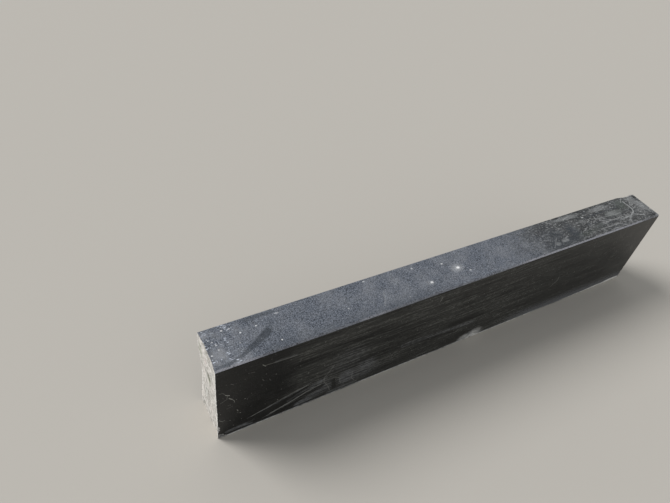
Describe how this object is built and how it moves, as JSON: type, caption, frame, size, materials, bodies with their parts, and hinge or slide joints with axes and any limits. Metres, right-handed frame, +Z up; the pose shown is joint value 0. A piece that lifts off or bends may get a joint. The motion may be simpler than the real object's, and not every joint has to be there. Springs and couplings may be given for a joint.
{
  "type": "granite kerb stone",
  "caption": "Long upright black granite kerb stone: sawn block with polished faces, a dusty honed top, a pale split end and chipped corners.",
  "frame": {"origin": "middle of the bed, the face that the kerb stands on", "axes": "+X along the kerb from the split end to the sawn end, -Y out of the exposed long face, +Z up"},
  "size_m": [1.25, 0.1, 0.25],
  "materials": {
    "granite": "black granite: polished long faces, honed and dusty top, sawn end and bed, pale rough split end"
  },
  "bodies": {
    "root": {"kerb_stone": "granite"}
  },
  "joints": []
}
